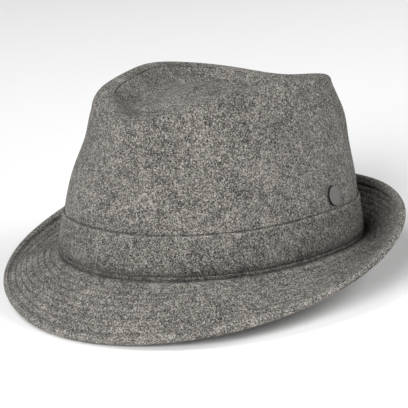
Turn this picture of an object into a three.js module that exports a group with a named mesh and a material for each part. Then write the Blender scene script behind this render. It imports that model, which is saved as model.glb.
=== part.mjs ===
import * as THREE from "three";

// A trilby of thick wool cloth, as it rests on a flat surface.
// Sizes are in millimetres and angles in degrees. The front faces -Y and the wearer's left is +X.

// The oval where the band meets the brim. It swells on its diagonals, and the joint dips at
// the front and the back by as much as it rises at the sides.
const OVAL_LENGTH = 202;
const OVAL_WIDTH = 172;
const OVAL_FULLNESS = 0.03;
const JOINT_DIP = 1.6;

// The crown, with heights measured from the joint with the brim.
const CROWN_HEIGHT = 106;
const CLOTH_THICKNESS = 2;
const SHOULDER_RADIUS = 5.5;
const CREASE_DEPTH = 12;
const CREASE_REACH = 18;
const DOME_DROP = 7;
const TIP_SEAM_REACH = 5;

// The shallow dent that fingers leave on each side of the front, at a share of the wall's height.
const DENT_DEPTH = 3;
const DENT_ANGLE = 38;
const DENT_SPREAD = 22;
const DENT_LEVEL = 0.75;
const DENT_RISE = 0.14;

// The band round the foot of the crown and the welt that it stands on.
const BAND_HEIGHT = 25.5;
const BAND_THICKNESS = 1.4;
const BAND_STAND = 0.5;
const BAND_PINCH_RISE = 5;
const WELT_HEIGHT = 2.3;
const WELT_BULGE = 0.6;

// The brim.
const BRIM_WIDTH = 40;
const BRIM_THICKNESS = 3;

// The soft fold in the brim where its front, turned down, meets each side, turned up.
const FOLD_RISE = 2;
const FOLD_ANGLE = 47;
const FOLD_SPREAD = 9;

// The round badge on the wearer's left.
const BADGE_DIAMETER = 12;
const BADGE_THICKNESS = 1.2;
const BADGE_ANGLE = 99.5;
const BADGE_RISE = 3.4;

// The gap between two pieces that are sewn together.
const FIT_GAP = 0.3;

// One row for each 30 degrees from the front to the back; both sides of the hat are alike.
// width is a share of BRIM_WIDTH, start and end are the brim's slopes in degrees at the joint
// and at the edge, ridge is a share of CROWN_HEIGHT, round a share of SHOULDER_RADIUS, crease a
// share of CREASE_DEPTH, and w20 to w100 are how far out the wall stands at those hundredths of
// its height, as shares of the oval.
const STATIONS = [
  {
    width: 1.13, start: -25, end: -56, ridge: 0.84, round: 1.8, crease: 0.6,
    w20: 0.98, w40: 0.925, w60: 0.865, w80: 0.815, w100: 0.82,
  },
  {
    width: 1.105, start: -14, end: -59, ridge: 0.91, round: 1.8, crease: 0.85,
    w20: 0.98, w40: 0.935, w60: 0.885, w80: 0.835, w100: 0.79,
  },
  {
    width: 1.025, start: -27, end: -7, ridge: 0.97, round: 1.4, crease: 1,
    w20: 0.97, w40: 0.94, w60: 0.885, w80: 0.825, w100: 0.72,
  },
  {
    width: 1.035, start: -21, end: 44, ridge: 1, round: 1.05, crease: 1,
    w20: 0.97, w40: 0.925, w60: 0.87, w80: 0.82, w100: 0.72,
  },
  {
    width: 0.96, start: -5, end: 96, ridge: 0.98, round: 0.85, crease: 1,
    w20: 0.97, w40: 0.94, w60: 0.895, w80: 0.855, w100: 0.79,
  },
  {
    width: 0.87, start: 11, end: 107, ridge: 0.94, round: 0.8, crease: 0.85,
    w20: 0.97, w40: 0.935, w60: 0.895, w80: 0.865, w100: 0.76,
  },
  {
    width: 0.885, start: 12, end: 98, ridge: 0.91, round: 0.9, crease: 0.7,
    w20: 0.97, w40: 0.925, w60: 0.87, w80: 0.83, w100: 0.755,
  },
];
const WALL_LEVELS = [0, 0.2, 0.4, 0.6, 0.8, 1];
const WALL_COLUMNS = ["w20", "w40", "w60", "w80", "w100"];

// How finely each form is divided.
const AROUND = 48;
const WALL_STEPS = 5;
const SHOULDER_STEPS = 4;
const SLOPE_STEPS = 4;
const BRIM_STEPS = 8;
const EDGE_STEPS = 4;
const WELT_STEPS = 4;
const BADGE_SIDES = 20;
const BAND_ROWS = [0, 0.35, 0.7, 1];
const SEAM_ROWS = [0.35, 0.7, 1];
const DOME_ROWS = [0.15, 0.35, 0.6, 0.85];

const UP = new THREE.Vector3(0, 0, 1);
const radians = THREE.MathUtils.degToRad;
const mix = THREE.MathUtils.lerp;
const ease = (x) => THREE.MathUtils.smoothstep(x, 0, 1);
const steps = (count) => Array.from({ length: count }, (_, i) => (i + 1) / count);

// A smooth even curve round the hat through the stations' values in one column.
function around(column) {
  const last = STATIONS.length - 1;
  const half = (index) => (index === 0 || index === last ? 0.5 : 1);
  const waves = STATIONS.map((_, wave) => {
    const terms = STATIONS.map((row, at) => half(at) * row[column] * Math.cos((wave * at * Math.PI) / last));
    return (2 / last) * terms.reduce((sum, term) => sum + term, 0);
  });
  return (angle) => waves.reduce((sum, size, wave) => sum + half(wave) * size * Math.cos(wave * angle), 0);
}

const brimShare = around("width");
const brimStart = around("start");
const brimEnd = around("end");
const ridgeShare = around("ridge");
const creaseShare = around("crease");
const roundShare = around("round");
const wallShares = WALL_COLUMNS.map(around);

// The oval, its outward direction and the height of the joint at an angle from the front.
function oval(angle, share = 1, out = 0) {
  const swell = share * (1 + OVAL_FULLNESS * Math.sin(2 * angle) ** 2);
  const away = outward(angle);
  const x = (OVAL_WIDTH / 2) * Math.sin(angle) * swell;
  const y = (-OVAL_LENGTH / 2) * Math.cos(angle) * swell;
  return new THREE.Vector3(x + away.x * out, y + away.y * out, 0);
}

function outward(angle) {
  return new THREE.Vector3(Math.sin(angle) / OVAL_WIDTH, -Math.cos(angle) / OVAL_LENGTH, 0).normalize();
}

function jointHeight(angle) {
  return -JOINT_DIP * Math.cos(2 * angle);
}

// The share of the oval at a level of the wall, on a smooth curve through its columns.
function wallShare(angle, level) {
  const values = [1, ...wallShares.map((share) => share(angle))];
  const curve = new THREE.CubicInterpolant(WALL_LEVELS, values, 1);
  return curve.evaluate(THREE.MathUtils.clamp(level, 0, 1))[0];
}

// The head opening's rim is flush with the brim's underside where that is highest.
const RIM_LEVEL = JOINT_DIP - BRIM_THICKNESS;

// The cloth is drawn in under the band, so that the band stands a little proud of the crown.
const BAND_PINCH = BAND_THICKNESS + FIT_GAP - BAND_STAND;

const bandHeights = BAND_ROWS.map((share) => mix(WELT_HEIGHT + FIT_GAP, BAND_HEIGHT, share));

function pinch(height) {
  return BAND_PINCH * (1 - ease((height - BAND_HEIGHT) / BAND_PINCH_RISE));
}

// How far an angle lies from the middle of a form that both sides of the front have, in spreads.
function aside(angle, middle, spread) {
  const turn = Math.abs(Math.atan2(Math.sin(angle), Math.cos(angle)));
  return (turn - radians(middle)) / radians(spread);
}

function dent(angle, level) {
  const above = (level - DENT_LEVEL) / DENT_RISE;
  return DENT_DEPTH * Math.exp(-(aside(angle, DENT_ANGLE, DENT_SPREAD) ** 2) - above ** 2);
}

// The dome's middle lies a little below the highest part of the ridge.
const DOME_TOP = CROWN_HEIGHT - DOME_DROP;

const ridgeHeight = (angle) => CROWN_HEIGHT * ridgeShare(angle);
const shoulderRadius = (angle) => SHOULDER_RADIUS * roundShare(angle);
const wallTop = (angle) => ridgeHeight(angle) - shoulderRadius(angle);

// The outside of the crown. Its four zones are the wall, by height above the joint; the
// shoulder, by the angle turned up to the ridge; the slope down into the crease, by the way
// in from the ridge; and the dome, by the share of the way from the crease to its middle.
function wallPoint(angle, height) {
  const joint = jointHeight(angle);
  const level = height / (wallTop(angle) - joint);
  const point = oval(angle, wallShare(angle, level), -pinch(height) - dent(angle, level));
  return point.setZ(joint + height);
}

function shoulderPoint(angle, turn) {
  const radius = shoulderRadius(angle);
  const inset = radius * (1 - Math.cos(turn));
  const point = oval(angle, wallShare(angle, 1), -inset - dent(angle, 1));
  return point.setZ(wallTop(angle) + radius * Math.sin(turn));
}

function slopePoint(angle, reach) {
  const ridge = shoulderPoint(angle, Math.PI / 2);
  const across = Math.hypot(ridge.x, ridge.y);
  const depth = CREASE_DEPTH * creaseShare(angle) * ease(reach / CREASE_REACH);
  ridge.multiply(new THREE.Vector3(1 - reach / across, 1 - reach / across, 1));
  return ridge.addScaledVector(UP, -depth);
}

function domePoint(angle, share) {
  const crease = slopePoint(angle, CREASE_REACH);
  const height = mix(crease.z, DOME_TOP, ease(share));
  return new THREE.Vector3(crease.x * (1 - share), crease.y * (1 - share), height);
}

// A point of a zone moved into the hollow by a depth, square to the cloth.
function inside(zone, angle, at, depth) {
  const step = 1e-3;
  const along = zone(angle + step, at).sub(zone(angle - step, at));
  const up = zone(angle, at + step).sub(zone(angle, at - step));
  return zone(angle, at).addScaledVector(along.cross(up).normalize(), -depth);
}

const angles = Array.from({ length: AROUND }, (_, i) => (2 * Math.PI * i) / AROUND);
const ring = (pointAt) => angles.map(pointAt);

// Joins rings of points into one closed body. Rings run round the hat, and the last ring
// either meets the first again or, with two end points given, each end is closed by its point.
function loft(rings, ends) {
  const points = rings.flat();
  const faces = [];
  const spans = ends ? rings.length - 1 : rings.length;
  for (let row = 0; row < spans; row += 1) {
    const low = row * AROUND;
    const high = ((row + 1) % rings.length) * AROUND;
    for (let i = 0; i < AROUND; i += 1) {
      const next = (i + 1) % AROUND;
      faces.push(low + i, low + next, high + next, low + i, high + next, high + i);
    }
  }
  if (ends) {
    const first = points.push(ends[0]) - 1;
    const last = points.push(ends[1]) - 1;
    const top = (rings.length - 1) * AROUND;
    for (let i = 0; i < AROUND; i += 1) {
      const next = (i + 1) % AROUND;
      faces.push(first, next, i, last, top + i, top + next);
    }
  }
  const geometry = new THREE.BufferGeometry().setFromPoints(points);
  geometry.setIndex(faces);
  geometry.computeVertexNormals();
  return geometry;
}

// The crown's side panel: up the outside to the tip seam and back down the inside to the rim,
// which lies in one flat plane round the head opening.
function crownSide() {
  const rimHeight = (angle) => RIM_LEVEL - jointHeight(angle);
  const heights = [rimHeight, ...bandHeights.map((height) => () => height)];
  const start = BAND_HEIGHT + BAND_PINCH_RISE;
  [0, ...steps(WALL_STEPS)].forEach((share) => {
    heights.push((angle) => mix(start, wallTop(angle) - jointHeight(angle), share));
  });
  const rows = heights.map((height) => [wallPoint, height]);
  steps(SHOULDER_STEPS).forEach((share) => rows.push([shoulderPoint, () => (share * Math.PI) / 2]));
  SEAM_ROWS.forEach((share) => rows.push([slopePoint, () => share * TIP_SEAM_REACH]));
  const outer = rows.map(([zone, at]) => ring((angle) => zone(angle, at(angle))));
  const inner = rows.map(([zone, at]) => ring((angle) => inside(zone, angle, at(angle), CLOTH_THICKNESS)));
  inner[0].forEach((point) => point.setZ(RIM_LEVEL));
  return loft([...outer, ...inner.reverse()]);
}

// The crown's top panel, from the tip seam down to the crease and over the dome.
function crownTip() {
  const first = TIP_SEAM_REACH + FIT_GAP;
  const rows = [0, ...steps(SLOPE_STEPS)].map((share) => [slopePoint, mix(first, CREASE_REACH, share)]);
  DOME_ROWS.forEach((share) => rows.push([domePoint, share]));
  const outer = rows.map(([zone, at]) => ring((angle) => zone(angle, at)));
  const inner = rows.map(([zone, at]) => ring((angle) => inside(zone, angle, at, CLOTH_THICKNESS)));
  const middle = new THREE.Vector3(0, 0, DOME_TOP);
  const under = middle.clone().addScaledVector(UP, -CLOTH_THICKNESS);
  return loft([...inner.reverse(), ...outer], [under, middle]);
}

// The band: a strip round the crown from the welt up, a fit gap outside the crown's cloth.
function hatBand() {
  const face = (out) => bandHeights.map((height) => ring((angle) => {
    return wallPoint(angle, height).addScaledVector(outward(angle), out);
  }));
  return loft([...face(FIT_GAP + BAND_THICKNESS), ...face(FIT_GAP).reverse()]);
}

function fold(angle, share) {
  return 4 * FOLD_RISE * share * (1 - share) * Math.exp(-(aside(angle, FOLD_ANGLE, FOLD_SPREAD) ** 2));
}

// A point of the brim's section: along is the way out from the joint over the upper face, an
// arc from the start slope to the end slope, and under is the depth below that face.
function brimPoint(angle, along, under) {
  const length = BRIM_WIDTH * brimShare(angle);
  const start = radians(brimStart(angle));
  const bend = (radians(brimEnd(angle)) - start) * (along / length);
  const chord = Math.abs(bend) > 1e-6 ? (along * Math.sin(bend / 2)) / (bend / 2) : along;
  const slope = start + bend;
  const out = chord * Math.cos(start + bend / 2) + under * Math.sin(slope);
  const rise = chord * Math.sin(start + bend / 2) - under * Math.cos(slope);
  return oval(angle, 1, out).setZ(jointHeight(angle) + rise + fold(angle, along / length));
}

// The brim, with the welt that stands up from its joint under the band.
function brim() {
  const innerFace = FIT_GAP - BAND_PINCH;
  const middle = BRIM_THICKNESS / 2;
  const reach = (angle) => BRIM_WIDTH * brimShare(angle) - middle;
  const shares = steps(BRIM_STEPS);
  const edgeTurns = steps(EDGE_STEPS).slice(0, -1).map((share) => share * Math.PI);
  const weltTurns = steps(WELT_STEPS).map((share) => share * Math.PI);
  const corner = (angle) => {
    const slope = radians(brimStart(angle));
    const drop = -BRIM_THICKNESS / Math.cos(slope) + innerFace * Math.tan(slope);
    return oval(angle, 1, innerFace).setZ(jointHeight(angle) + drop);
  };
  const edge = (angle, turn) => {
    return brimPoint(angle, reach(angle) + middle * Math.sin(turn), middle * (1 + Math.cos(turn)));
  };
  const welt = (angle, turn) => {
    const out = mix(0, innerFace, turn / Math.PI) + WELT_BULGE * Math.sin(turn);
    return oval(angle, 1, out).setZ(jointHeight(angle) + WELT_HEIGHT * (1 - Math.cos(turn)) / 2);
  };
  return loft([
    ring(corner),
    ...shares.map((share) => ring((angle) => brimPoint(angle, reach(angle) * share, BRIM_THICKNESS))),
    ...edgeTurns.map((turn) => ring((angle) => edge(angle, turn))),
    ...shares.toReversed().map((share) => ring((angle) => brimPoint(angle, reach(angle) * share, 0))),
    ring((angle) => brimPoint(angle, 0, 0)),
    ...weltTurns.map((turn) => ring((angle) => welt(angle, turn))),
  ]);
}

// The badge: a plain disc with a rounded front edge, turned about its own axis.
function badge() {
  const radius = BADGE_DIAMETER / 2;
  const round = BADGE_THICKNESS / 3;
  const profile = [
    [0, 0],
    [radius, 0],
    [radius, BADGE_THICKNESS - round],
    [radius - round, BADGE_THICKNESS],
    [0, BADGE_THICKNESS],
  ];
  return new THREE.LatheGeometry(profile.map(([x, y]) => new THREE.Vector2(x, y)), BADGE_SIDES);
}

// Sets the badge against the crown, a fit gap off the cloth.
function placeBadge(mesh) {
  const angle = radians(BADGE_ANGLE);
  const height = BAND_HEIGHT + BADGE_RISE + BADGE_DIAMETER / 2;
  const foot = wallPoint(angle, height);
  const away = foot.clone().sub(inside(wallPoint, angle, height, 1)).normalize();
  mesh.position.copy(foot.addScaledVector(away, FIT_GAP));
  mesh.quaternion.setFromUnitVectors(new THREE.Vector3(0, 1, 0), away);
}

// The lean back at which the hat rests: the lowest points before and behind its middle are level.
function restingLean(points) {
  const lowest = (side, lean) => {
    const heights = points.filter((point) => point.y * side > 0).map((point) => {
      return point.y * Math.sin(lean) + point.z * Math.cos(lean);
    });
    return heights.reduce((low, height) => Math.min(low, height), Infinity);
  };
  let [back, front] = [-Math.PI / 6, Math.PI / 6];
  while (front - back > 1e-7) {
    const lean = (back + front) / 2;
    if (lowest(-1, lean) > lowest(1, lean)) {
      back = lean;
    } else {
      front = lean;
    }
  }
  return front;
}

function cloth(color) {
  return new THREE.MeshStandardMaterial({ color, roughness: 0.95, metalness: 0 });
}

const pieces = [
  ["crown_side", crownSide(), cloth(0x77736e)],
  ["crown_tip", crownTip(), cloth(0x74706b)],
  ["hat_band", hatBand(), cloth(0x726e69)],
  ["brim", brim(), cloth(0x797570)],
  ["badge", badge(), new THREE.MeshStandardMaterial({ color: 0x85827d, roughness: 0.6, metalness: 0.1 })],
];

const hat = new THREE.Group();
for (const [name, geometry, material] of pieces) {
  const mesh = new THREE.Mesh(geometry, material);
  mesh.name = name;
  hat.add(mesh);
}
placeBadge(hat.getObjectByName("badge"));

// Rested on its brim, with the middle of its bounding box's bottom face at the origin.
const shell = ["brim", "crown_side"].flatMap((name) => {
  const { array, count } = hat.getObjectByName(name).geometry.getAttribute("position");
  return Array.from({ length: count }, (_, i) => new THREE.Vector3().fromArray(array, 3 * i));
});
hat.rotation.x = restingLean(shell);
const box = new THREE.Box3().setFromObject(hat, true);
hat.position.set(-(box.min.x + box.max.x) / 2, -(box.min.y + box.max.y) / 2, -box.min.z);

const part = new THREE.Group();
part.add(hat);

export default part;
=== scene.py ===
import math

import bpy
import numpy as np
from mathutils import Matrix, Vector


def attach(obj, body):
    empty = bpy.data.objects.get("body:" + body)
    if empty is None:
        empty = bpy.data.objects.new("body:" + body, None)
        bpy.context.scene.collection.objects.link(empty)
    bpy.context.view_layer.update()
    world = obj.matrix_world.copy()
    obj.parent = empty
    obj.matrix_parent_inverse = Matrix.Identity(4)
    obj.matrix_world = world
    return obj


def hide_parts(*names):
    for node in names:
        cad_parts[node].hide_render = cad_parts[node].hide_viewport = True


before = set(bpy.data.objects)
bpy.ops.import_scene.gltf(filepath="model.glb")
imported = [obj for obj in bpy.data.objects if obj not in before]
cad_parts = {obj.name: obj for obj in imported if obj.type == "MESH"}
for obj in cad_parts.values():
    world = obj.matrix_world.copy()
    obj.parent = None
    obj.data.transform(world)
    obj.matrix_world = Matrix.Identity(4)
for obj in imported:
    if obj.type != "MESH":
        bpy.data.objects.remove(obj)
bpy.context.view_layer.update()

MM = 0.001

# The hat's sizes, in the frame of its solids: the front faces -Y and the wearer's left is +X.
OVAL_LENGTH = 202 * MM
OVAL_WIDTH = 172 * MM
OVAL_FULLNESS = 0.03
JOINT_DIP = 1.6 * MM
CROWN_HEIGHT = 106 * MM
CLOTH_THICKNESS = 2 * MM
SHOULDER_RADIUS = 5.5 * MM
CREASE_DEPTH = 12 * MM
CREASE_REACH = 18 * MM
DOME_TOP = CROWN_HEIGHT - 7 * MM
TIP_SEAM_REACH = 5 * MM
DENT_DEPTH = 3 * MM
DENT_ANGLE = math.radians(38)
DENT_SPREAD = math.radians(22)
DENT_LEVEL = 0.75
DENT_RISE = 0.14
BRIM_WIDTH = 40 * MM
BRIM_THICKNESS = 3 * MM
FOLD_RISE = 2.6 * MM
FOLD_ANGLE = math.radians(47)
FOLD_SPREAD = math.radians(8)
FIT_GAP = 0.3 * MM
RIM_LEVEL = JOINT_DIP - BRIM_THICKNESS

# The band stands out from the wall, bulges a little and turns in at its top and its foot.
BAND_HEIGHT = 25.5 * MM
BAND_THICKNESS = 1.4 * MM
BAND_STAND = 1.2 * MM
BAND_BULGE = 0.25 * MM
BAND_TOP_ROUND = 0.6 * MM
BAND_FOOT_RISE = 3.6 * MM
BAND_FOOT_TURN = 1.6 * MM

# It draws the wall in, and the wall is let out again over a rise that begins below the band's top.
BAND_PINCH = BAND_THICKNESS + FIT_GAP - BAND_STAND
BAND_PINCH_RISE = 3 * MM
BAND_PINCH_LEAD = 0.6

# The wall is tucked in where the band's top presses on it, and is loose there at one place.
TUCK_DEPTH = 0.8 * MM
TUCK_RISE = 0.35 * MM
TUCK_SPREAD = 0.55 * MM
TUCK_REACH = 1.8 * MM
LOOSE_ANGLE = math.radians(305)
LOOSE_SPREAD = math.radians(28)
LOOSE_SHARE = 0.8

# The welt between the brim and the band's foot.
WELT_HEIGHT = 2.3 * MM
WELT_BULGE = 0.35 * MM
WELT_SINK = 1.2 * MM

# The badge is a plain disc with a low lip round its foot.
BADGE_DIAMETER = 11.8 * MM
BADGE_THICKNESS = 1.4 * MM
BADGE_ROUND = BADGE_THICKNESS / 6
BADGE_LIP = 0.3 * MM
BADGE_ANGLE = math.radians(99.5)
BADGE_RISE = 2.4 * MM
BADGE_SIDES = 64
BADGE_FACE_SHARES = (0.8, 0.5, 0.2)

# The sewing: rows of stitches along the brim, counted in from its edge, and one low on the band.
ROW_COUNT = 8
ROW_FIRST = 6.3 * MM
ROW_PITCH = 4.03 * MM
ROW_DEPTH = 0.7 * MM
ROW_SPREAD = 0.36 * MM
BAND_ROW = 7.8 * MM
BAND_ROW_DEPTH = 0.18 * MM
STITCH_PITCH = 3.1 * MM
STITCH_LENGTH = 2.6 * MM
STITCH_STEPS = 4
STITCH_SINK = 0.22 * MM
STITCH_ARCH = 0.26 * MM
STITCH_PATH_POINTS = 2881
THREAD_RADIUS = 0.2 * MM
THREAD_SIDES = 5
THREAD_END_SHARE = 0.2

# The turned edge of the brim stands thicker than the brim, and seams cross the cloth.
EDGE_PUFF = 0.7 * MM
EDGE_REACH = 5.2 * MM
EDGE_STEP = 0.9 * MM
EDGE_RADIUS = BRIM_THICKNESS / 2 + EDGE_PUFF
EDGE_SEAM = math.radians(83)
BACK_SEAM = math.radians(180)
SEAM_DEPTH = 0.6 * MM
SEAM_SPREAD = 0.5 * MM
SEAM_ROUND = 0.5 * MM
SEAM_GAP = 0.2 * MM

# Soft cloth lies a little out of true. For each axis: the turns along x, y and z, the start and the size
# of two slow waves.
WARP_LENGTH = 38 * MM
WARP_SIZE = 0.35 * MM
WARP_WAVES = (
    (((0, 1.3, 0.8), 0.4, 1), ((0, -1.7, 2.1), 2.0, 0.5)),
    (((1.1, 0, -0.9), 1.9, 1), ((2.3, 0, 1.6), 0.7, 0.5)),
    (((1.2, 1.4, 0), 3.1, 1), ((-1.9, 2.2, 0), 5.2, 0.5)),
)

# One value for each 30 degrees from the front to the back; both sides of the hat are alike.
STATIONS = {
    "width": (1.13, 1.105, 1.025, 1.035, 0.96, 0.87, 0.885),
    "start": (-25, -14, -27, -21, -5, 11, 12),
    "end": (-56, -59, -7, 44, 96, 107, 98),
    "ridge": (0.84, 0.91, 0.97, 1, 0.98, 0.94, 0.91),
    "round": (1.8, 1.8, 1.4, 1.05, 0.85, 0.8, 0.9),
    "crease": (0.6, 0.85, 1, 1, 1, 0.85, 0.7),
}
# How far out the wall stands at each level of its height, as shares of the oval.
WALL = {
    0.0: (1, 1, 1, 1, 1, 1, 1),
    0.2: (0.98, 0.98, 0.97, 0.97, 0.97, 0.97, 0.97),
    0.4: (0.925, 0.935, 0.94, 0.925, 0.94, 0.935, 0.925),
    0.6: (0.865, 0.885, 0.885, 0.87, 0.895, 0.895, 0.87),
    0.8: (0.815, 0.835, 0.825, 0.82, 0.855, 0.865, 0.83),
    1.0: (0.82, 0.79, 0.72, 0.72, 0.79, 0.76, 0.755),
}

# Painted shade in the cloth's grooves and hollows, and painted highlight on the band's top and brim's edge.
ROW_SHADE = 0.26
STEP_SHADE = 0.28
STEP_SHADE_PLACE = EDGE_STEP / 3
JOINT_SHADE = 0.58
JOINT_SHADE_REACH = 0.5 * MM
WELT_SHADE = 0.33
FOOT_SHADE = 0.38
FOOT_SHADE_RISE = 4.5 * MM
TUCK_SHADE = 0.15
TOP_PAINTED_HIGHLIGHT = 0.4
TOP_PAINTED_HIGHLIGHT_REACH = 0.9 * MM
EDGE_PAINTED_HIGHLIGHT = 0.1

# The lean back at which the hat rests on its brim, and the place that puts its box on the origin. The
# thick edge and the soft shape reach below the solids' lowest point, so they settle it a little higher.
SETTLE = 0.9 * MM
LEAN = Matrix.Rotation(math.radians(-6.57478), 4, "X")
REST = Matrix.Translation((0, 6.2312 * MM, 16.2878 * MM + SETTLE)) @ LEAN

# The angles at which each ring has its points: evenly round, and close together at the seams.
EVEN_COUNT = 432
EVEN_ANGLES = np.arange(EVEN_COUNT) * 2 * math.pi / EVEN_COUNT
SEAM_ANGLES = np.radians([-0.75, -0.5, -0.3, -0.15, 0, 0.15, 0.3, 0.5, 0.75])
ANGLES = np.concatenate([EVEN_ANGLES, EDGE_SEAM + SEAM_ANGLES, BACK_SEAM + SEAM_ANGLES])
ANGLES = np.unique(np.round(ANGLES, 5))
AROUND = len(ANGLES)

# How many rings each stretch of the cloth has, and where they stand at a stitched row.
RIM_RINGS = 22
TUCK_RINGS = 25
WALL_RINGS = 64
SHOULDER_RINGS = 14
SLOPE_RINGS = 8
CREASE_RINGS = 18
DOME_RINGS = 30
DOME_LAST_SHARE = 0.97
BAND_RINGS = 60
BAND_INNER_RINGS = 24
BAND_FOOT_RINGS = 12
BRIM_OUTER_RINGS = 14
BRIM_EDGE_RINGS = 15
WELT_RINGS = 14
ROW_RINGS = np.array([-1.1, -0.6, -0.3, 0, 0.3, 0.6, 1.1]) * MM
QUARTER_TURN = np.linspace(0, math.pi / 2, 6)


def around(values, angle):
    """A smooth even curve round the hat through values given from the front to the back."""
    last = len(values) - 1
    half = np.ones(last + 1)
    half[[0, -1]] = 0.5
    waves = np.arange(last + 1)
    sizes = 2 / last * np.cos(np.outer(waves, waves) * math.pi / last) @ (half * np.array(values))
    return np.cos(np.multiply.outer(angle, waves)) @ (half * sizes)


def station(column, angle):
    return around(STATIONS[column], angle)


def ease(share):
    """From 0 to 1 with a soft start and a soft end."""
    share = np.clip(share, 0, 1)
    return share * share * (3 - 2 * share)


def hump(across):
    """A soft hump: 1 in the middle and almost nothing two spreads away."""
    return np.exp(-(across**2))


def groove(across):
    """A narrow groove with long slow flanks, as a row of stitches draws the cloth in."""
    return 1 / (1 + across**2)


def outward(angle):
    away = np.stack([np.sin(angle) / OVAL_WIDTH, -np.cos(angle) / OVAL_LENGTH, 0 * angle], -1)
    return away / np.linalg.norm(away, axis=-1, keepdims=True)


def oval(angle, share=1, out=0, height=0):
    """Points on the hat's oval or a share of it, moved straight out from it and up."""
    swell = share * (1 + OVAL_FULLNESS * np.sin(2 * angle) ** 2)
    away = outward(angle)
    x = OVAL_WIDTH / 2 * np.sin(angle) * swell + away[..., 0] * out
    y = -OVAL_LENGTH / 2 * np.cos(angle) * swell + away[..., 1] * out
    return np.stack(np.broadcast_arrays(x, y, height), -1)


def joint_height(angle):
    """How high the joint of brim and band runs: it dips at the front and the back."""
    return -JOINT_DIP * np.cos(2 * angle)


def wall_share(angle, level):
    """The wall's share of the oval at a level, on a smooth curve through the table's rows."""
    angle, level = np.broadcast_arrays(angle, np.clip(level, 0, 1))
    table = np.stack([around(values, angle) for values in WALL.values()])
    steps = np.diff(table, axis=0)
    slopes = np.concatenate([steps[:1], (steps[1:] + steps[:-1]) / 2, steps[-1:]])
    place = level * (len(WALL) - 1)
    below = np.minimum(place.astype(int), len(WALL) - 2)
    on = place - below

    def pick(values, index):
        return np.take_along_axis(values, index[None], 0)[0]

    low = pick(table, below) * (1 + 2 * on) + pick(slopes, below) * on
    high = pick(table, below + 1) * (3 - 2 * on) + pick(slopes, below + 1) * (on - 1)
    return low * (1 - on) ** 2 + high * on**2


def aside(angle, middle, spread):
    """How far an angle lies from the middle of a form that both sides have, in spreads."""
    return (np.abs(np.arctan2(np.sin(angle), np.cos(angle))) - middle) / spread


def dent(angle, level):
    """How deep the pinch in each front side of the crown is."""
    return DENT_DEPTH * hump(aside(angle, DENT_ANGLE, DENT_SPREAD)) * hump((level - DENT_LEVEL) / DENT_RISE)


def seam(angle, middle, radius):
    """How deep a seam that runs across the rings is sunk at an angle."""
    return SEAM_DEPTH * hump(np.sin((angle - middle) / 2) * 2 * radius / SEAM_SPREAD)


def back_seam(angle, beyond=0):
    return seam(angle, BACK_SEAM, OVAL_LENGTH / 2 + beyond)


def shoulder_radius(angle):
    return SHOULDER_RADIUS * station("round", angle)


def wall_top(angle):
    return CROWN_HEIGHT * station("ridge", angle) - shoulder_radius(angle)


def band_pinch(height):
    """How far the band draws the wall in at a height above the joint."""
    return BAND_PINCH * (1 - ease((height - BAND_HEIGHT) / BAND_PINCH_RISE + BAND_PINCH_LEAD))


def wall_point(angle, height):
    joint = joint_height(angle)
    level = height / (wall_top(angle) - joint)
    out = -band_pinch(height) - dent(angle, level)
    return oval(angle, wall_share(angle, level), out, joint + height)


def shoulder_point(angle, turn):
    radius = shoulder_radius(angle)
    inset = radius * (1 - np.cos(turn)) + dent(angle, 1)
    return oval(angle, wall_share(angle, 1), -inset, wall_top(angle) + radius * np.sin(turn))


def slope_point(angle, reach):
    """A place on the slope from the ridge down into the crease."""
    ridge = shoulder_point(angle, math.pi / 2) + 0 * np.asarray(reach)[..., None]
    across = np.hypot(ridge[..., 0], ridge[..., 1])
    ridge[..., :2] *= (1 - reach / across)[..., None]
    ridge[..., 2] -= CREASE_DEPTH * station("crease", angle) * ease(reach / CREASE_REACH)
    return ridge


def dome_point(angle, share):
    """A place on the raised middle of the tip, from the crease to its top."""
    crease = slope_point(angle, CREASE_REACH) + 0 * np.asarray(share)[..., None]
    crease[..., 2] += (DOME_TOP - crease[..., 2]) * ease(share)
    crease[..., :2] *= np.asarray(1 - share)[..., None]
    return crease


def brim_width(angle):
    return BRIM_WIDTH * station("width", angle)


def brim_point(angle, along, under):
    """A place on the brim, a way along its curve from the joint and a depth under its upper face."""
    length = brim_width(angle)
    start = np.radians(station("start", angle))
    bend = (np.radians(station("end", angle)) - start) * along / length
    chord = along * np.sinc(bend / 2 / math.pi)
    slope = start + bend
    out = chord * np.cos(start + bend / 2) + under * np.sin(slope)
    rise = chord * np.sin(start + bend / 2) - under * np.cos(slope)
    share = along / length
    rise = rise + 4 * FOLD_RISE * share * (1 - share) * hump(aside(angle, FOLD_ANGLE, FOLD_SPREAD))
    return oval(angle, 1, out, joint_height(angle) + rise)


def row_place(angle, row):
    """How far out from the joint one stitched row of the brim runs."""
    return (BRIM_WIDTH - row * ROW_PITCH) * station("width", angle) - ROW_FIRST


def past_edge_line(angle, along):
    """How far a place lies past the inner line of the brim's turned edge."""
    return along - brim_width(angle) + EDGE_REACH


def brim_relief(angle, along):
    """How deep the brim's faces are sunk: between its rows it puffs, and its turned edge is thick."""
    sunk = 0 * along
    for row in range(ROW_COUNT):
        sunk = sunk + ROW_DEPTH * groove((along - row_place(angle, row)) / ROW_SPREAD)
    past = ease(past_edge_line(angle, along) / EDGE_STEP)
    edge_seam = seam(angle, EDGE_SEAM, OVAL_LENGTH / 2 + along) * past
    return sunk + edge_seam + back_seam(angle, along) - EDGE_PUFF * past


def brim_shade(angle, along):
    """How much darker the brim's face is painted: painted shade along its rows, its joint and the step of
    its turned edge, and painted highlight past the step.
    """
    past = past_edge_line(angle, along)
    shade = STEP_SHADE * hump((past - STEP_SHADE_PLACE) / ROW_SPREAD)
    shade = shade - EDGE_PAINTED_HIGHLIGHT * ease((past - EDGE_STEP) / EDGE_STEP)
    shade = shade + JOINT_SHADE * hump(along / JOINT_SHADE_REACH)
    for row in range(ROW_COUNT):
        shade = shade + ROW_SHADE * hump((along - row_place(angle, row)) / ROW_SPREAD)
    return shade


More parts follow.
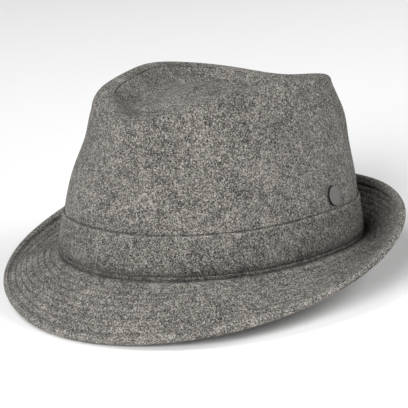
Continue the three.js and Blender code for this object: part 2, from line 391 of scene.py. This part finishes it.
def below_surface(zone, angle, at, depth):
    """Points of a zone sunk by a depth, square to the cloth."""
    step = 1e-4
    along = zone(angle + step, at) - zone(angle - step, at)
    up = zone(angle, at + step) - zone(angle, at - step)
    normal = np.cross(along, up)
    normal /= np.linalg.norm(normal, axis=-1, keepdims=True)
    return zone(angle, at) - normal * np.asarray(depth)[..., None]


def rows(zone, places, depths=0.0):
    """Rings of points of one zone, one for each place. A depth is given for each ring or each angle."""
    places = np.asarray(places, float)
    places = places[:, None] if places.ndim == 1 else places
    depths = np.asarray(depths, float)
    depths = depths[:, None] if depths.ndim == 1 and len(depths) != AROUND else depths
    places, depths = np.broadcast_arrays(places, depths)
    return below_surface(zone, ANGLES[None, :], places, depths)


def warped(points):
    """Points drawn a little out of true, as soft cloth lies. Nearby points move together."""
    place = points / WARP_LENGTH

    def shift(waves):
        return sum(size * np.sin(place @ turns + start) for turns, start, size in waves)

    return points + WARP_SIZE * np.stack([shift(waves) for waves in WARP_WAVES], -1)


def to_rest(points):
    """Points of the upright hat, softened and laid as the hat rests."""
    turn = np.array(REST)
    return warped(np.asarray(points).reshape(-1, 3)) @ turn[:3, :3].T + turn[:3, 3]


def put_in_scene(name, data):
    thing = bpy.data.objects.new(name, data)
    bpy.context.scene.collection.objects.link(thing)
    return thing


def body(name, points, faces):
    mesh = bpy.data.meshes.new(name)
    mesh.from_pydata(points, [], faces)
    mesh.shade_smooth()
    return put_in_scene(name, mesh)


def cloth_body(name, rings, shades, ends=None):
    """One closed body through rings of points: its last ring meets the first, or each end has a point.

    shades tells how much darker the cloth is painted at each ring's points: painted shade above zero,
    painted highlight below.
    """
    count = len(rings)
    points = to_rest(rings)
    i = np.arange(AROUND)
    after = (i + 1) % AROUND
    faces = []
    for row in range(count - 1 if ends else count):
        low, high = row * AROUND, (row + 1) % count * AROUND
        faces += np.stack([low + i, low + after, high + after, high + i], -1).tolist()
    if ends:
        points = np.concatenate([points, to_rest(ends)])
        first, last = len(points) - 2, len(points) - 1
        top = (count - 1) * AROUND
        faces += np.stack([0 * i + first, after, i], -1).tolist()
        faces += np.stack([0 * i + last, top + i, top + after], -1).tolist()
    piece = body(name, points.tolist(), faces)
    shade = piece.data.attributes.new("shade", "FLOAT", "POINT")
    shade.data.foreach_set("value", np.resize(shades, len(points)).astype(np.float32))
    return piece


def crown_side():
    """The wall, shoulder and start of the slope, inside and out, up to the seam with the tip."""
    foot = RIM_LEVEL - joint_height(ANGLES)
    top = wall_top(ANGLES) - joint_height(ANGLES)
    tuck = np.linspace(-TUCK_REACH, TUCK_REACH, TUCK_RINGS)[:, None] + BAND_HEIGHT + 0 * ANGLES
    below, above = np.linspace(foot, tuck[0], RIM_RINGS), np.linspace(tuck[-1], top, WALL_RINGS)
    wall = np.concatenate([below, tuck[1:-1], above])
    turns = np.linspace(0, math.pi / 2, SHOULDER_RINGS)[1:]
    last = TIP_SEAM_REACH - SEAM_ROUND
    reaches = np.linspace(0, last, SLOPE_RINGS)[1:]
    sunk = back_seam(ANGLES)
    held = 1 - LOOSE_SHARE * hump((ANGLES - LOOSE_ANGLE) / LOOSE_SPREAD)
    tucked = held * hump((wall - BAND_HEIGHT - TUCK_RISE) / TUCK_SPREAD)
    outer = [
        rows(wall_point, wall, sunk + TUCK_DEPTH * tucked),
        rows(shoulder_point, turns, sunk),
        rows(slope_point, reaches, sunk),
    ]
    curl = QUARTER_TURN[1:]
    edge = rows(slope_point, last + SEAM_ROUND * np.sin(curl), SEAM_ROUND * (1 - np.cos(curl)))
    inner = [
        rows(wall_point, wall[::2], CLOTH_THICKNESS),
        rows(shoulder_point, turns[::2], CLOTH_THICKNESS),
        rows(slope_point, np.append(reaches[::2], TIP_SEAM_REACH), CLOTH_THICKNESS),
    ]
    inner[0][0, :, 2] = RIM_LEVEL
    rings = np.concatenate([*outer, edge, np.concatenate(inner)[::-1]])
    shades = np.zeros(rings.shape[:2])
    # Painted shade in the crease above the band's top, where the wall is tucked in.
    shades[: len(wall)] = TUCK_SHADE * tucked
    return cloth_body("crown_side_cloth", rings, shades)


def crown_tip():
    """The top panel, from the tip seam down to the crease and over the dome."""
    first = TIP_SEAM_REACH + SEAM_GAP
    reaches = np.linspace(first + SEAM_ROUND, CREASE_REACH, CREASE_RINGS)
    shares = np.linspace(0, DOME_LAST_SHARE, DOME_RINGS)[1:]
    curl = QUARTER_TURN[:-1]
    edge = rows(slope_point, first + SEAM_ROUND * (1 - np.cos(curl)), SEAM_ROUND * (1 - np.sin(curl)))
    outer = [rows(slope_point, reaches), rows(dome_point, shares)]
    under = np.append(first, reaches[1:])
    inner = [rows(slope_point, under, CLOTH_THICKNESS), rows(dome_point, shares, CLOTH_THICKNESS)]
    rings = np.concatenate([np.concatenate(inner)[::-1], edge, *outer])
    return cloth_body("crown_tip_cloth", rings, 0, [(0, 0, DOME_TOP - CLOTH_THICKNESS), (0, 0, DOME_TOP)])


def band_face(heights, out):
    """Rings of the band, a way out from the wall as it stands where nothing draws it in."""
    heights = np.asarray(heights, float)[:, None]
    angle = ANGLES[None, :]
    joint = joint_height(angle)
    level = heights / (wall_top(angle) - joint)
    away = np.reshape(out, (-1, 1)) + 0 * level
    away = away - back_seam(angle) * (away > 0)
    return oval(angle, wall_share(angle, level), away - dent(angle, level), joint + heights)


def hat_band():
    """The band: its outside stands proud of the crown, and its top edge and its foot are turned in."""
    low, high = WELT_HEIGHT + SEAM_GAP / 2, BAND_HEIGHT
    heights = np.linspace(low + BAND_FOOT_RISE, high - BAND_TOP_ROUND, BAND_RINGS)
    bulge = BAND_BULGE * np.sin(math.pi * (heights - low) / (high - low))
    stand = BAND_STAND + bulge - BAND_ROW_DEPTH * groove((heights - BAND_ROW) / ROW_SPREAD)
    outer = band_face(heights, stand)
    curl = QUARTER_TURN[1:]
    top_heights = high - BAND_TOP_ROUND * (1 - np.sin(curl))
    top = band_face(top_heights, BAND_STAND - BAND_TOP_ROUND * (1 - np.cos(curl)))
    down = np.linspace(high, low, BAND_INNER_RINGS)
    inner = band_face(down, SEAM_GAP / 2 - band_pinch(down))
    curl = np.linspace(math.pi / 2, 0, BAND_FOOT_RINGS)[:-1]
    foot_heights = low + BAND_FOOT_RISE * (1 - np.sin(curl))
    foot = band_face(foot_heights, stand[0] - BAND_FOOT_TURN * (1 - np.cos(curl)))
    rings = np.concatenate([outer, top, inner, foot])
    # Painted shade on the band's foot, where it turns in, and painted highlight along its top edge.
    face_shade = FOOT_SHADE * hump((heights - low) / FOOT_SHADE_RISE)
    face_shade = face_shade - TOP_PAINTED_HIGHLIGHT * hump((heights - high) / TOP_PAINTED_HIGHLIGHT_REACH)
    top_shade = np.full(len(top), -TOP_PAINTED_HIGHLIGHT)
    foot_shade = np.full(len(foot), FOOT_SHADE)
    shades = np.concatenate([face_shade, top_shade, 0 * down, foot_shade])
    return cloth_body("hat_band_cloth", rings, np.repeat(shades, AROUND))


def brim_steps(angle):
    """The places of the rings on a face of the brim, close together at each stitched row."""
    reach = brim_width(angle) - EDGE_RADIUS
    places = [0 * reach]
    for row in reversed(range(ROW_COUNT)):
        middle = row_place(angle, row)
        places.append((places[-1] + middle - ROW_RINGS[-1]) / 2)
        places += [middle + step for step in ROW_RINGS]
    return np.concatenate([places, np.linspace(places[-1], reach, BRIM_OUTER_RINGS)[1:]])


def brim():
    """The brim with its stitched rows, its thick turned edge and the welt that the band stands on."""
    angle = ANGLES[None, :]
    joint = joint_height(angle)
    along = brim_steps(ANGLES)
    relief = brim_relief(angle, along)

    turn = np.linspace(0, math.pi, BRIM_EDGE_RINGS)[1:-1, None]
    radius = EDGE_RADIUS - seam(angle, EDGE_SEAM, OVAL_LENGTH / 2 + BRIM_WIDTH) - back_seam(angle)
    reach = brim_width(angle) - EDGE_RADIUS
    edge_depth = BRIM_THICKNESS / 2 + radius * np.cos(turn)
    edge = brim_point(angle, reach + radius * np.sin(turn), edge_depth)
    under = brim_point(angle, along, BRIM_THICKNESS - relief)
    upper = brim_point(angle, along[::-1], relief[::-1])

    # The inner corner under the band, the sunk line of the joint, and the welt that rises from it.
    inner_face = FIT_GAP - BAND_PINCH
    slope = np.radians(station("start", angle))
    drop = -BRIM_THICKNESS / np.cos(slope) + inner_face * np.tan(slope)
    corner = oval(angle, 1, inner_face, joint + drop)
    crease = oval(angle, 1, -WELT_SINK, joint - WELT_SINK / 2)
    lift = np.linspace(0, math.pi, WELT_RINGS)[1:, None]
    share = lift / math.pi
    out = inner_face * share**4 - WELT_SINK * (1 - share) ** 4 + WELT_BULGE * np.sin(lift)
    welt = oval(angle, 1, out, joint + WELT_HEIGHT * (1 - np.cos(lift)) / 2)

    # Painted shade at the rows, the joint, the crease and the welt, and painted highlight on the turned
    # edge.
    face_shade = brim_shade(angle, along)
    edge_shade = np.full(edge.shape[:2], -EDGE_PAINTED_HIGHLIGHT)
    crease_shade = np.full(crease.shape[:2], JOINT_SHADE)
    welt_shade = WELT_SHADE + (JOINT_SHADE - WELT_SHADE) * (1 - share) ** 2 + 0 * angle
    rings = np.concatenate([corner, under[1:], edge, upper, crease, welt])
    shades = np.concatenate([face_shade, edge_shade, face_shade[::-1], crease_shade, welt_shade])
    return cloth_body("brim_cloth", rings, shades)


def stitch_row(point_at):
    """One row of stitches round the hat. point_at gives places at a depth below the cloth's face."""
    turns = np.linspace(0, 2 * math.pi, STITCH_PATH_POINTS)
    path = point_at(turns, 0.0)
    run = np.append(0, np.cumsum(np.linalg.norm(np.diff(path, axis=0), axis=1)))
    count = round(run[-1] / STITCH_PITCH)
    shares = np.linspace(0, 1, STITCH_STEPS + 1)
    begin = np.arange(count)[:, None] * run[-1] / count
    angle = np.interp(begin + STITCH_LENGTH * shares, run, turns)
    middle = point_at(angle, 0.0)
    out = middle - point_at(angle, MM)
    out /= np.linalg.norm(out, axis=-1, keepdims=True)
    ahead = np.gradient(middle, axis=1)
    ahead /= np.linalg.norm(ahead, axis=-1, keepdims=True)
    side = np.cross(ahead, out)
    arch = np.sin(math.pi * shares)
    middle = middle + out * (STITCH_ARCH * arch - STITCH_SINK)[None, :, None]
    radius = THREAD_RADIUS * np.sqrt(np.maximum(arch, THREAD_END_SHARE))
    turn = np.arange(THREAD_SIDES) * 2 * math.pi / THREAD_SIDES
    spokes = side[:, :, None] * np.cos(turn)[:, None] + out[:, :, None] * np.sin(turn)[:, None]
    return middle[:, :, None] + spokes * radius[None, :, None, None]


def sewing(name, paths):
    """All the stitches of some rows as one piece. Each is a short closed thread."""
    threads = np.concatenate([stitch_row(path) for path in paths])
    count, rings, sides = threads.shape[:3]
    first = np.arange(count)[:, None, None] * rings * sides
    row = np.arange(rings - 1)[None, :, None] * sides
    k = np.arange(sides)[None, None, :]
    after = (k + 1) % sides
    corners = [first + row + at for at in (after, k, sides + k, sides + after)]
    faces = np.stack(np.broadcast_arrays(*corners), -1).reshape(-1, 4).tolist()
    last = first + (rings - 1) * sides
    faces += (first + k)[:, 0].tolist() + (last + k[..., ::-1])[:, 0].tolist()
    return body(name, to_rest(threads).tolist(), faces)


def brim_sewing():
    """The rows of stitches on both faces of the brim."""

    def path(row, upper):
        def point_at(angle, depth):
            along = row_place(angle, row)
            sunk = brim_relief(angle, along) + depth
            return brim_point(angle, along, sunk if upper else BRIM_THICKNESS - sunk)

        return point_at

    paths = [path(row, upper) for row in range(ROW_COUNT) for upper in (True, False)]
    return sewing("brim_stitches", paths)


def band_sewing():
    """The row of stitches low on the band."""

    def point_at(angle, depth):
        joint = joint_height(angle)
        level = BAND_ROW / (wall_top(angle) - joint)
        bulge = BAND_BULGE * math.sin(math.pi * BAND_ROW / BAND_HEIGHT)
        out = BAND_STAND + bulge - BAND_ROW_DEPTH - back_seam(angle) - depth
        return oval(angle, wall_share(angle, level), out, joint + BAND_ROW)

    return sewing("band_stitches", [point_at])


def badge():
    """The badge on the crown's wall. Its lip and the side above it have the second material, painted near
    black as a shadow.
    """
    angle = np.array(BADGE_ANGLE)
    height = BAND_HEIGHT + BADGE_RISE + BADGE_DIAMETER / 2
    foot = wall_point(angle, height)
    away = foot - below_surface(wall_point, angle, np.array(height), MM)
    away = (LEAN.to_3x3() @ Vector(away)).normalized()
    foot = Vector(to_rest(foot)[0]) + away * FIT_GAP
    radius = BADGE_DIAMETER / 2
    low, inner = BADGE_THICKNESS - BADGE_ROUND, radius - BADGE_ROUND
    lip = [(radius + BADGE_LIP, 0.0), (radius + BADGE_LIP, BADGE_LIP), (radius, BADGE_LIP)]
    edge = [(inner + BADGE_ROUND * math.cos(t), low + BADGE_ROUND * math.sin(t)) for t in QUARTER_TURN]
    profile = lip + edge + [(radius * share, BADGE_THICKNESS) for share in BADGE_FACE_SHARES]
    square = away.to_track_quat("Z", "Y").to_matrix()
    points, faces = [], []
    for reach, rise in profile:
        for side in range(BADGE_SIDES):
            turn = 2 * math.pi * side / BADGE_SIDES
            points.append(foot + square @ Vector((reach * math.cos(turn), reach * math.sin(turn), rise)))
    for row in range(len(profile) - 1):
        ring, above = row * BADGE_SIDES, (row + 1) * BADGE_SIDES
        for side in range(BADGE_SIDES):
            after = (side + 1) % BADGE_SIDES
            faces.append([ring + side, ring + after, above + after, above + side])
    faces.append(list(range(BADGE_SIDES))[::-1])
    faces.append(list(range(len(points) - BADGE_SIDES, len(points))))
    piece = body("badge_disc", points, faces)
    for face in piece.data.polygons[: len(lip) * BADGE_SIDES]:
        face.material_index = 1
    return piece


class Value:
    """A shader socket that takes part in sums like a number."""

    def __init__(self, finish, socket):
        self.finish = finish
        self.socket = socket

    def math(self, operation, *others):
        values = dict(enumerate((self, *others)))
        return self.finish.add("Math", {"operation": operation}, values)

    def __add__(self, other):
        return self.math("ADD", other)

    __radd__ = __add__

    def __sub__(self, other):
        return self.math("SUBTRACT", other)

    def __rsub__(self, other):
        return self * -1 + other

    def __mul__(self, other):
        return self.math("MULTIPLY", other)

    __rmul__ = __mul__


class Finish:
    """A material in the making. Every node of it comes from add."""

    def __init__(self, name):
        self.material = bpy.data.materials.new(name)
        self.material.use_nodes = True
        self.tree = self.material.node_tree
        self.tree.nodes.clear()
        self.place = self.add("TexCoord", output="Object")

    def add(self, kind, settings=None, values=None, output=0):
        node = self.tree.nodes.new("ShaderNode" + kind)
        for name, value in (settings or {}).items():
            if name == "stops":
                elements = node.color_ramp.elements
                while len(elements) < len(value):
                    elements.new(0.5)
                for element, (position, color) in zip(elements, value):
                    element.position = position
                    element.color = color
            else:
                setattr(node, name, value)
        for name, value in (values or {}).items():
            if isinstance(value, Value):
                self.tree.links.new(value.socket, node.inputs[name])
            else:
                node.inputs[name].default_value = value
        return None if output is None else Value(self, node.outputs[output])

    def noise(self, scale, detail=2, roughness=0.5, curl=0.0, at=None):
        """Noise with about as many grains to the metre as scale says."""
        values = {"Scale": scale, "Detail": detail, "Roughness": roughness, "Distortion": curl}
        return self.add("TexNoise", None, {"Vector": at or self.place, **values})

    def blend(self, share, one, other):
        """The colour one where share is 0 and other where it is 1."""
        return self.add("Mix", {"data_type": "RGBA"}, {0: share, 6: one, 7: other}, output=2)

    def bump(self, strength, distance, height):
        return self.add("Bump", None, {"Strength": strength, "Distance": distance, "Height": height})

    def done(self, values):
        """The material, with these values on its shader."""
        shader = self.add("BsdfPrincipled", None, values)
        self.add("OutputMaterial", None, {"Surface": shader}, output=None)
        return self.material


# Every gray here is a little warm: its red rises by the warmth, and its blue falls by more.
WOOL_WARMTH = 0.055
BADGE_WARMTH = 0.02
BLUE_LOSS = 1.6


def gray(level, warmth=WOOL_WARMTH):
    return (level * (1 + warmth), level, level * (1 - warmth * BLUE_LOSS), 1)


# How strongly each size of grain shows in the wool, and how thin its fibres are.
CLUMP_CONTRAST = 2.6
FIBRE_CONTRAST = 0.26
MOTTLE_CONTRAST = 0.42
CLOUD_CONTRAST = 0.3
FIBRE_THINNESS = 11
# The wool's tones from its darkest fibres to its palest: the place in the mixture and the gray.
WOOL_TONES = ((0.14, 0.02), (0.34, 0.095), (0.5, 0.17), (0.66, 0.285), (0.88, 0.56))


def wool(name, tone):
    """Melange wool: pale and dark fibres carded together, short, curled and lying every way."""
    finish = Finish(name)

    def fibres(scale, shift):
        """Thin curled lines: high where the noise crosses its middle."""
        moved = {"Vector": finish.place, "Location": (shift, 2 * shift, 3 * shift)}
        line = finish.noise(scale, detail=1, curl=1.2, at=finish.add("Mapping", None, moved)) - 0.5
        return (1 - line.math("ABSOLUTE") * FIBRE_THINNESS).math("MAXIMUM", 0)

    clump = finish.noise(1050, detail=3, roughness=0.82, curl=0.6) - 0.5
    mottle = finish.noise(210, roughness=0.55) - 0.5
    cloud = finish.noise(45) - 0.5
    pale, dark = fibres(640, shift=0.3), fibres(700, shift=0.7)
    fleck = 0.5 + clump * CLUMP_CONTRAST + pale * FIBRE_CONTRAST - dark * FIBRE_CONTRAST
    fleck = fleck + mottle * MOTTLE_CONTRAST + cloud * CLOUD_CONTRAST
    stops = [(at, gray(level * tone)) for at, level in WOOL_TONES]
    color = finish.add("ValToRGB", {"stops": stops}, {0: fleck})
    # The painted shade and painted highlight that each piece carries darken and lighten the wool's colour.
    shade = finish.add("Attribute", {"attribute_name": "shade"}, output=2)
    color = finish.add("VectorMath", {"operation": "SCALE"}, {0: color, "Scale": 1 - shade})
    return finish.done(
        {
            "Base Color": color,
            "Roughness": 0.95,
            "Normal": finish.bump(0.7, 0.5 * MM, fleck),
            "Specular IOR Level": 0.15,
            "Sheen Weight": 0.05,
            "Sheen Roughness": 0.5,
        }
    )


THREAD_DARK, THREAD_PALE = 0.035, 0.09


def thread_finish():
    finish = Finish("sewing_thread")
    twist = finish.noise(2600)
    color = finish.blend(twist, gray(THREAD_DARK), gray(THREAD_PALE))
    bump = finish.bump(0.4, 0.1 * MM, twist)
    return finish.done({"Base Color": color, "Roughness": 0.7, "Normal": bump, "Specular IOR Level": 0.3})


# The badge's face and its edge, painted near black as the shadow in the gap round its foot, and how far its
# tone wanders to both sides.
BADGE_TONES = {"badge_satin": 0.13, "badge_painted_shadow": 0.002}
BADGE_MOTTLE = 0.12


def badge_finish(name, tone):
    finish = Finish(name)
    grain = finish.noise(900, detail=3)
    dark, pale = (gray(tone * (1 + side * BADGE_MOTTLE), BADGE_WARMTH) for side in (-1, 1))
    color = finish.blend(grain, dark, pale)
    return finish.done({"Base Color": color, "Roughness": 0.5 + grain * 0.2, "Specular IOR Level": 0.3})


FLOOR_HALF = 6.0
FLOOR_DARK, FLOOR_PALE = (0.9, 0.9, 0.9, 1), (0.92, 0.92, 0.92, 1)


def floor():
    corners = [(x * FLOOR_HALF, y * FLOOR_HALF, 0) for x, y in ((-1, -1), (1, -1), (1, 1), (-1, 1))]
    piece = body("floor", corners, [(0, 1, 2, 3)])
    finish = Finish("pale_floor")
    color = finish.blend(finish.noise(3), FLOOR_DARK, FLOOR_PALE)
    piece.data.materials.append(finish.done({"Base Color": color, "Roughness": 0.9}))


def toward(turn, rise):
    """The direction from the hat at a turn from its front toward the wearer's left, and a rise."""
    return Vector((math.sin(turn) * math.cos(rise), -math.cos(turn) * math.cos(rise), math.sin(rise)))


# The photograph's viewing angle, in the upright hat's own frame.
PIXELS = 408
PIXELS_PER_MM = 1.586
VIEW_DISTANCE = 1.04
VIEW_TURN = math.radians(40)
VIEW_RISE = math.radians(12.7)
VIEW_ROLL = math.radians(-1.07)
VIEW_ASIDE = -6.4 * MM
VIEW_UP = 22.2 * MM
VIEW_END = 30
SENSOR = 36


def camera():
    back = toward(VIEW_TURN, VIEW_RISE)
    level = Vector((math.cos(VIEW_TURN), math.sin(VIEW_TURN), 0))
    upright = back.cross(level)
    right = level * math.cos(VIEW_ROLL) + upright * math.sin(VIEW_ROLL)
    up = upright * math.cos(VIEW_ROLL) - level * math.sin(VIEW_ROLL)
    pose = Matrix((right, up, back)).transposed().to_4x4()
    pose.translation = right * VIEW_ASIDE + up * VIEW_UP + back * VIEW_DISTANCE
    data = bpy.data.cameras.new("camera")
    data.sensor_width = SENSOR
    data.lens = PIXELS_PER_MM / MM * VIEW_DISTANCE * SENSOR / PIXELS
    data.clip_end = VIEW_END
    eye = put_in_scene("camera", data)
    eye.matrix_world = REST @ pose
    bpy.context.scene.camera = eye


# Each softbox: its turn from the hat's front toward the wearer's left, its rise, and its power.
SOFTBOXES = (
    ("front_softbox", 10, 30, 104),
    ("side_softbox", 80, 9, 27),
    ("rear_softbox", 126, 34, 54),
    ("top_softbox", -70, 64, 36),
)
SOFTBOX_DISTANCE = 3.0
SOFTBOX_SIZE = 1.9
SOFTBOX_AIM = Vector((0, 0, 50 * MM))
AIR_LIGHT = 0.02


def softbox(name, turn, rise, power):
    data = bpy.data.lights.new(name, "AREA")
    data.shape = "DISK"
    data.size = SOFTBOX_SIZE
    data.energy = power
    light = put_in_scene(name, data)
    away = toward(math.radians(turn), math.radians(rise))
    light.location = SOFTBOX_AIM + away * SOFTBOX_DISTANCE
    light.rotation_euler = away.to_track_quat("Z", "Y").to_euler()


def studio():
    for name, turn, rise, power in SOFTBOXES:
        softbox(name, turn, rise, power)
    world = bpy.data.worlds.new("studio")
    bpy.context.scene.world = world
    world.use_nodes = True
    background = world.node_tree.nodes["Background"]
    background.inputs["Color"].default_value = (1, 1, 1, 1)
    background.inputs["Strength"].default_value = AIR_LIGHT
    bpy.context.scene.view_settings.view_transform = "Standard"


# For each piece of cloth: what makes it, its slot, and how pale its wool is.
PIECES = {
    "crown_side": (crown_side, "crown_cloth", 0.71),
    "crown_tip": (crown_tip, "tip_cloth", 0.75),
    "hat_band": (hat_band, "band_cloth", 0.62),
    "brim": (brim, "brim_cloth", 0.77),
}
SEWING = {"brim_cloth": brim_sewing, "band_cloth": band_sewing}

for node, (make, slot, tone) in PIECES.items():
    piece = make()
    piece.data.materials.append(wool(f"melange_{node}", tone))
    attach(piece, "root")
    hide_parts(node)

thread = thread_finish()
for slot, make in SEWING.items():
    piece = make()
    piece.data.materials.append(thread)
    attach(piece, "root")

disc = badge()
for name, tone in BADGE_TONES.items():
    disc.data.materials.append(badge_finish(name, tone))
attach(disc, "root")
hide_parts("badge")

camera()
floor()
studio()
